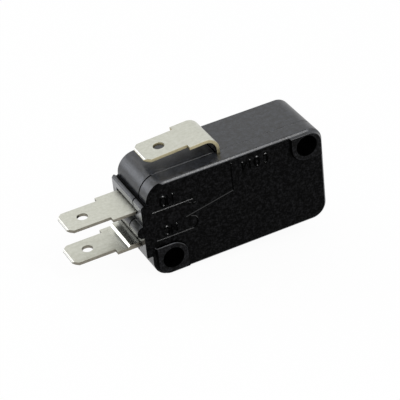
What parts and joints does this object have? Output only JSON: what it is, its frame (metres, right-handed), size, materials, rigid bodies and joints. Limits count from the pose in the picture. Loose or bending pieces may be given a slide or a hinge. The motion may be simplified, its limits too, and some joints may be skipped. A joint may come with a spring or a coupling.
{
  "type": "snap-action switch",
  "caption": "Flat moulded snap-action switch with a sprung pin plunger on one edge, push-on tab terminals at one end and mounting holes through its corners.",
  "frame": {"origin": "axis of the mounting hole beside the tabs, at mid thickness of the body", "axes": "+X along the body away from the tabs, +Y from the cover to the back, +Z away from the plunger"},
  "size_m": [0.0387, 0.0104, 0.021],
  "materials": {
    "case_plastic": "satin",
    "plunger_plastic": "satin",
    "plated_strip": "matte tin plate",
    "contact_metal": "plain silver",
    "arm_bronze": "plain",
    "stainless": "plain"
  },
  "bodies": {
    "housing": {"case": "case_plastic", "cover": "case_plastic", "com_terminal": "plated_strip", "no_terminal": "plated_strip", "nc_terminal": "plated_strip", "no_contact": "contact_metal", "nc_contact": "contact_metal", "tension_spring": "stainless"},
    "plunger": {"plunger": "plunger_plastic"},
    "arm": {"contact_arm": "arm_bronze", "arm_contact": "contact_metal"},
    "lever": {"actuating_lever": "stainless"}
  },
  "joints": [
    {"name": "plunger_slide", "type": "slide", "parent": "housing", "child": "plunger", "axis": [0, 0, 1], "range_m": [0, 0.0022], "stiffness_N_per_m": 1000},
    {"name": "arm_pivot", "type": "hinge", "parent": "housing", "child": "arm", "pos_m": [0.0093, 0.0004, 0.00533], "axis": [0, 1, 0], "range_deg": [0, 4.47]},
    {"name": "lever_pivot", "type": "hinge", "parent": "housing", "child": "lever", "pos_m": [0.0099, 0.0004, 0.00628], "axis": [0, -1, 0], "range_deg": [0, 11.38], "deforming": ["tension_spring"]}
  ],
  "couplings": [
    {"joint": "arm_pivot", "follows": "plunger_slide", "rad_per_m": 35.419},
    {"joint": "lever_pivot", "follows": "plunger_slide", "rad_per_m": 90.122}
  ]
}
